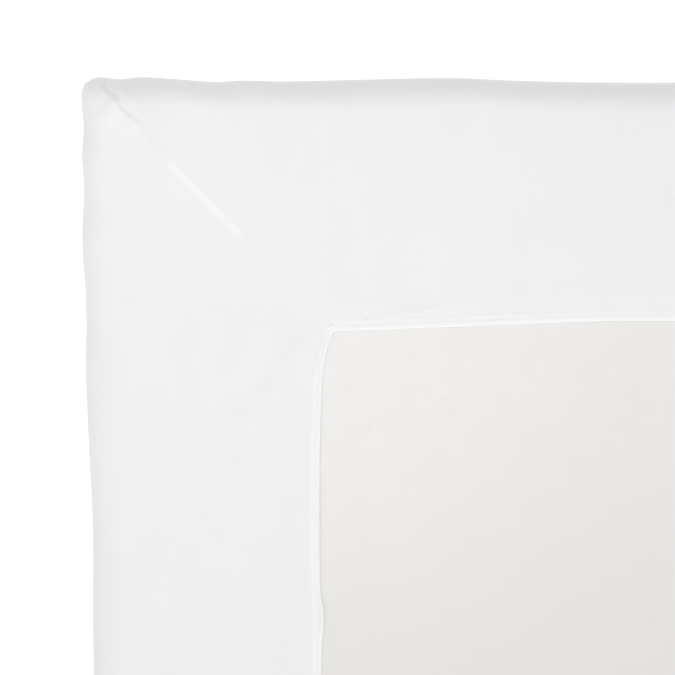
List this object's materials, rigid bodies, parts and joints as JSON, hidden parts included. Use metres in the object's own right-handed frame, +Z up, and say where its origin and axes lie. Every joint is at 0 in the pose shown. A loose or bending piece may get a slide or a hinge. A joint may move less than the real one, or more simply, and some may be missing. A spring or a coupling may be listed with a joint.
{
  "type": "fitted sheet on a mattress",
  "caption": "Fitted sheet with an all-round elastic edge and mitred corners, stretched over a thin foam mattress that lies turned over so the opening shows.",
  "frame": {"origin": "on the floor under the middle of the mattress", "axes": "+Z up, towards the sheet's opening; X across the mattress, Y along it; the corner in the picture is at -X, +Y"},
  "size_m": [0.9002, 2.0002, 0.126],
  "materials": {
    "ticking": "matt cream woven mattress cover",
    "jersey": "smooth white cotton jersey",
    "elastic": "white elastic binding with two stitched welts"
  },
  "bodies": {
    "root": {"mattress": "ticking", "fitted_sheet": "jersey", "elastic_edge": "elastic"}
  },
  "joints": []
}
